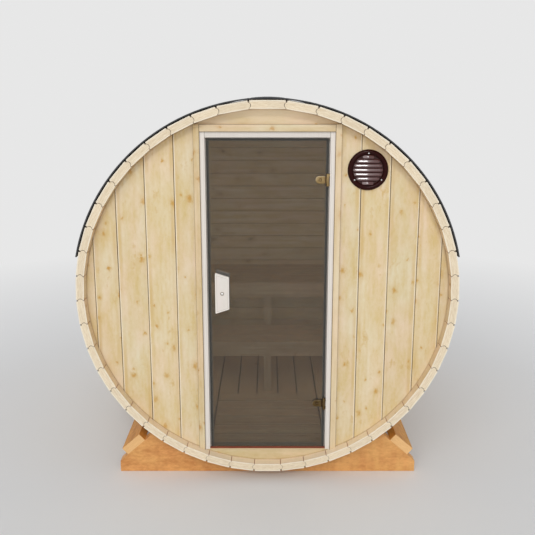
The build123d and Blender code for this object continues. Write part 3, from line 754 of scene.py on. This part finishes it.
# Painted shade in the gap beside the knuckle and in a ring round the clamp screw.
gap = (abs(x - knuckle_gap) < 0.0028).op("MAXIMUM", abs(from_screw - 0.0072) < 0.0011)
brass = hinge_brass.blend((0.32, 0.215, 0.09), (0.52, 0.38, 0.19), rub)
brass = hinge_brass.blend(brass, (0.72, 0.58, 0.36), upper_edge_highlight * 0.8)
brass = hinge_brass.blend(brass, (0.23, 0.145, 0.055), ((0.002 - height) / 0.02).clamp() * 0.6)
brass = hinge_brass.blend(brass, (0.065, 0.037, 0.013), tarnish_and_shade * 0.77)
hinge_brass.feed("Base Color", hinge_brass.blend(brass, (0.03, 0.012, 0.008), gap * 0.85))
hinge_brass.feed("Roughness", 0.3 + 0.2 * rub)
dress(hinge_brass.material, "upper_hinge_leaf", "lower_hinge_leaf", "upper_hinge_clamp", "lower_hinge_clamp")

towards_back = Matrix.Rotation(math.radians(-90), 4, "X")
clamp_front, clamp_back, hinge_screw_radius = -0.969, -0.951, 0.0064
hinge_screw_moves = []
for hinge_height in (upper_hinge, lower_hinge):
    hinge_screw_moves.append(Matrix.Translation((clamp_screw, clamp_front, hinge_height)) @ towards_front)
    hinge_screw_moves.append(Matrix.Translation((clamp_screw, clamp_back, hinge_height)) @ towards_back)
hinge_screws = repeat(screw_head(hinge_screw_radius), "hinge_screws", hinge_screw_moves)
coat(hinge_screws, hinge_brass.material, "door")


# Handles: tapered plates of pale aspen on round spacers, one on each side of the glass.
# One bolt through the pane holds both, with a washer and a domed cap at each end of it.
handle_height, handle_middle = 1.0637, -0.234
handle_left, handle_right, handle_front, handle_back = -0.270, -0.198, -1.0140, -0.9060
handle_half, handle_taper, taper_cosine = 0.1085, 0.3264, 0.9507
handle_pale, handle_warm, handle_knot = (0.80, 0.75, 0.69), (0.74, 0.685, 0.61), (0.6, 0.5, 0.4)
border_highlight, border_shade_line = (0.90, 0.85, 0.79), (0.56, 0.49, 0.42)


def handle_lay(x, y, z):
    from_left = x - handle_left
    sloped = (handle_half - from_left * handle_taper - abs(z - handle_height)) * taper_cosine
    border = from_left.op("MINIMUM", handle_right - x).op("MINIMUM", sloped)
    # A painted highlight along the border stands for a chamfer, with a painted shade line just inside it.
    marks = [(border < 0.0068, border_highlight, 0.8), (abs(border - 0.0082) < 0.0016, border_shade_line, 0.6)]
    return z, x - handle_middle, y, side_of(y + 0.96) + 70, marks


handle_wood = planed_wood("handle_wood", handle_lay, handle_pale, handle_warm, handle_knot,
                          knots=0.0, streaks=0.6, figure=0.3, blots=0.0)
dress(handle_wood, "outer_handle", "inner_handle")

handle_moves = [Matrix.Translation((handle_middle, handle_front, handle_height)) @ towards_front,
                Matrix.Translation((handle_middle, handle_back, handle_height)) @ towards_back]
washer_radius, washer_thick, cap_radius = 0.0098, 0.001, 0.0068
bpy.ops.object.select_all(action="DESELECT")
bpy.ops.mesh.primitive_cylinder_add(vertices=24, radius=washer_radius, depth=washer_thick,
                                    location=(0, 0, 0.0004))
washer = settle()
bpy.ops.object.mode_set(mode="EDIT")
pick(washer, lambda spot: spot.z > 0)
bpy.ops.mesh.select_mode(type="FACE")
bpy.ops.transform.resize(value=(0.92, 0.92, 1), center_override=(0, 0, 0))
bpy.ops.mesh.inset(thickness=0.002)
extrude(0, 0, -0.0006)
bpy.ops.object.mode_set(mode="OBJECT")
bolt_steel = Finish("bolt_steel", Metallic=1.0)
x, y, z = bolt_steel.place()
turned = bolt_steel.noise(x * 500, y * 500, z * 500, 2.0)
# The brown tint of this steel is painted shade: on the washers it stands for the ring of shade round the
# handle caps.
bolt_steel.feed("Base Color", bolt_steel.blend((0.22, 0.18, 0.13), (0.38, 0.32, 0.25), turned))
bolt_steel.feed("Roughness", 0.3 + 0.2 * turned)
coat(repeat(washer, "handle_washers", handle_moves), bolt_steel.material, "door")

bpy.ops.object.select_all(action="DESELECT")
bpy.ops.mesh.primitive_circle_add(vertices=20, radius=cap_radius, fill_type="NGON", location=(0, 0, 0.0002))
cap = settle()
bpy.ops.object.mode_set(mode="EDIT")
bpy.ops.mesh.select_all(action="SELECT")
for rise, shrink in ((0.0016, 0.97), (0.0014, 0.86), (0.0009, 0.68), (0.0004, 0.4)):
    extrude(0, 0, rise)
    bpy.ops.transform.resize(value=(shrink, shrink, 1), center_override=(0, 0, 0))
bpy.ops.mesh.select_all(action="SELECT")
bpy.ops.mesh.normals_make_consistent(inside=False)
bpy.ops.object.mode_set(mode="OBJECT")
bpy.ops.object.shade_smooth_by_angle(angle=math.radians(50))
coat(repeat(cap, "handle_caps", handle_moves), zinc.material, "door")


# Back wall: level tongued boards let into the staves, plain inside and out.
# The wood and its narrow V joints are those of the front wall.
back_board, back_offset = 0.096, 0.049
back_knot = (0.30, 0.15, 0.05)


def back_wall_lay(x, y, z):
    steps = (z - axis_height - back_offset) / back_board
    number = steps.op("FLOOR")
    across = (steps - number - 0.5) * back_board
    return x, across, y, number + 200, [(abs(across) > 0.0464, joint_dark, 0.3)]


back_wood = planed_wood("back_wood", back_wall_lay, wall_pale, wall_warm, back_knot,
                        knots=0.75, streaks=2.4, figure=0.9)
dress(back_wood, "back_wall")


# Benches: two steps across the back, with seat boards laid with gaps on bearers and an apron before each.
# All of it is planed and left bare. Each stands on a middle leg, and steel screws hold the seat boards.
bench_pale, bench_warm, bench_knot = (0.76, 0.62, 0.42), (0.56, 0.41, 0.235), (0.45, 0.25, 0.08)
upper_start, upper_pitch, upper_boards = 0.376, 0.138, 4
lower_start, lower_pitch, lower_boards = 0.004, 0.1147, 3


def slats(start, pitch, tag):
    def lay(x, y, z):
        steps = (y - start) / pitch
        number = steps.op("FLOOR")
        return x, (steps - number - 0.5) * pitch, z, number + tag, []

    return lay


def on_edge(tag):
    return lambda x, y, z: (x, z % 0.3 - 0.15, y, x * 0 + tag, [])


def lengthwise(tag):
    return lambda x, y, z: (y, x, z, side_of(x) + tag, [])


def upright(tag):
    return lambda x, y, z: (z, x, y, side_of(y - 0.2) + tag, [])


def bench_wood(name, lay, *names, end=None):
    wood = planed_wood(name, lay, bench_pale, bench_warm, bench_knot,
                       knots=0.4, streaks=2.4, end=end, figure=1.3)
    dress(wood, *names)


bench_wood("upper_seat_wood", slats(upper_start, upper_pitch, 300), "upper_bench_seat")
bench_wood("lower_seat_wood", slats(lower_start, lower_pitch, 320), "lower_bench_seat")
bench_wood("upper_apron_wood", on_edge(341), "upper_bench_apron")
bench_wood("lower_apron_wood", on_edge(347), "lower_bench_apron")
bench_wood("bearer_wood", lengthwise(360), "upper_bench_bearers", "lower_bench_bearers")
bench_wood("leg_wood", upright(380), "bench_legs")

screw_radius, screw_aside, screw_sunk = 0.0034, 0.026, 0.0011
bearer_half = 0.0225
bench_screw_moves = []
for bench, start, pitch, count in (("upper", upper_start, upper_pitch, upper_boards),
                                   ("lower", lower_start, lower_pitch, lower_boards)):
    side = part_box(bench + "_bench_bearers")[1][0] - bearer_half
    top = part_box(bench + "_bench_seat")[1][2] - screw_sunk
    for number in range(count):
        middle = start + (number + 0.5) * pitch + 0.005
        for aside in (-screw_aside, screw_aside):
            bench_screw_moves += [Matrix.Translation((x, middle + aside, top)) for x in (-side, 0, side)]
bench_screws = repeat(screw_head(screw_radius), "bench_screws", bench_screw_moves)
coat(bench_screws, bolt_steel.material, "cabin")


# Duckboard: six crosswise slats screwed to two runners, laid loose on the barrel's floor inside the door.
# It is bare wood like the benches, with paler sawn edges.
duckboard_start, duckboard_pitch, duckboard_slats = -0.904, 0.11667, 6
slat_half, runner_middle = 0.0533, 0.19
duckboard_edge = ("Y", (0.97, 0.84, 0.64), (0.9, 0.74, 0.52))
bench_wood("duckboard_wood", slats(duckboard_start, duckboard_pitch, 400), "duckboard_slats",
           end=duckboard_edge)
bench_wood("runner_wood", lengthwise(420), "duckboard_runners")
slat_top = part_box("duckboard_slats")[1][2] - screw_sunk
duckboard_screw_moves = []
for number in range(duckboard_slats):
    middle = duckboard_start + duckboard_pitch * number + slat_half
    for aside in (-screw_aside, screw_aside):
        duckboard_screw_moves += [Matrix.Translation((x, middle + aside, slat_top))
                                  for x in (-runner_middle, runner_middle)]
duckboard_screws = repeat(screw_head(screw_radius), "duckboard_screws", duckboard_screw_moves)
coat(duckboard_screws, bolt_steel.material, "cabin")


# The studio: a pale floor that fades into the backdrop, and an even sky.
# A wide soft lamp and a small brighter one shine from in front, high up; weak lamps light the room inside.
pale = (0.80, 0.80, 0.80, 1.0)
sky_light = (0.49, 0.50, 0.515, 1.0)
fade_start, fade_width = 2.0, 3.5
bpy.ops.object.select_all(action="DESELECT")
bpy.ops.mesh.primitive_plane_add(size=120, location=(0, 0, -0.001))
floor = bpy.context.object
floor.name = "floor"
floor_finish = Finish("floor_finish", Base_Color=pale, Roughness=0.9)
x, y, z = floor_finish.place()
far = ((span(x, y) - fade_start) / fade_width).clamp()
glow = floor_finish.node("ShaderNodeEmission", {}, {"Color": pale, "Strength": 1.0})
surface = Tone(floor_finish, floor_finish.shader.outputs[0])
mixed = floor_finish.node("ShaderNodeMixShader", {}, {0: far, 1: surface, 2: glow})
floor_finish.tree.links.new(mixed.socket, floor_finish.tree.nodes["Material Output"].inputs["Surface"])
floor.data.materials.append(floor_finish.material)

world = bpy.data.worlds.new("studio_sky")
world.use_nodes = True
sky = world.node_tree
path = sky.nodes.new("ShaderNodeLightPath")
mix = sky.nodes.new("ShaderNodeMix")
mix.data_type = "RGBA"
mix.inputs[6].default_value = sky_light
mix.inputs[7].default_value = pale
seen = path.outputs["Is Camera Ray"]
for ray in ("Is Glossy Ray", "Is Transmission Ray"):
    either = sky.nodes.new("ShaderNodeMath")
    either.operation = "MAXIMUM"
    sky.links.new(seen, either.inputs[0])
    sky.links.new(path.outputs[ray], either.inputs[1])
    seen = either.outputs[0]
sky.links.new(seen, mix.inputs[0])
sky.links.new(mix.outputs[2], sky.nodes["Background"].inputs["Color"])
bpy.context.scene.world = world


def hang(name, data, heading):
    lamp = bpy.data.objects.new(name, data)
    bpy.context.scene.collection.objects.link(lamp)
    lamp.rotation_euler = Vector(heading).to_track_quat("-Z", "Y").to_euler()
    return lamp


def far_lamp(name, heading, spread, strength):
    data = bpy.data.lights.new(name, "SUN")
    data.angle = math.radians(spread)
    data.energy = strength
    hang(name, data, heading)


def room_lamp(name, place, target, width, height, watts, colour=(1.0, 1.0, 1.0)):
    data = bpy.data.lights.new(name, "AREA")
    data.shape = "RECTANGLE"
    data.size = width
    data.size_y = height
    data.energy = watts
    data.color = colour
    lamp = hang(name, data, Vector(target) - Vector(place))
    lamp.location = place
    return data


bulb_colour, bench_lamp_colour, daylight = (1.0, 0.83, 0.63), (1.0, 0.84, 0.66), (0.95, 1.05, 1.09)
far_lamp("soft_lamp", (0.22, 1.0, -0.68), 50, 0.92)
far_lamp("bright_lamp", (-0.035, 1.0, -0.7), 8, 0.48)
room_lamp("room_lamp", (0, -0.4, 1.85), (0, -0.3, 0.1), 0.5, 0.5, 6, bulb_colour)
room_lamp("upper_bench_lamp", (0, 0.41, 0.735), (0, 0.93, 0.50), 0.7, 0.05, 0.75, bench_lamp_colour)
room_lamp("lower_bench_lamp", (0, 0.04, 0.42), (0, 0.45, 0.12), 0.7, 0.05, 0.48, bench_lamp_colour)
room_lamp("pane_lamp", (0, -0.9535, 1.018), (0, 0, 1.018), 0.58, 1.62, 1.5)
even_lamp = room_lamp("inside_lamp", (0, -0.94, 0.72), (0, 0.5, 0.56), 0.5, 1.05, 4.7, daylight)
even_lamp.use_nodes = True
falloff = even_lamp.node_tree.nodes.new("ShaderNodeLightFalloff")
falloff.inputs["Strength"].default_value = 1.0
emission = even_lamp.node_tree.nodes["Emission"]
even_lamp.node_tree.links.new(falloff.outputs["Constant"], emission.inputs["Strength"])

camera_distance, camera_rise, camera_dip = 4.714, 1.007, 13.05
lens = bpy.data.cameras.new("camera")
lens.lens = 50
lens.sensor_width = 36
camera = bpy.data.objects.new("camera", lens)
bpy.context.scene.collection.objects.link(camera)
camera.location = (0, -camera_distance, axis_height + camera_rise)
camera.rotation_euler = (math.radians(90 - camera_dip), 0, 0)
bpy.context.scene.camera = camera
bpy.context.scene.view_settings.view_transform = "Standard"
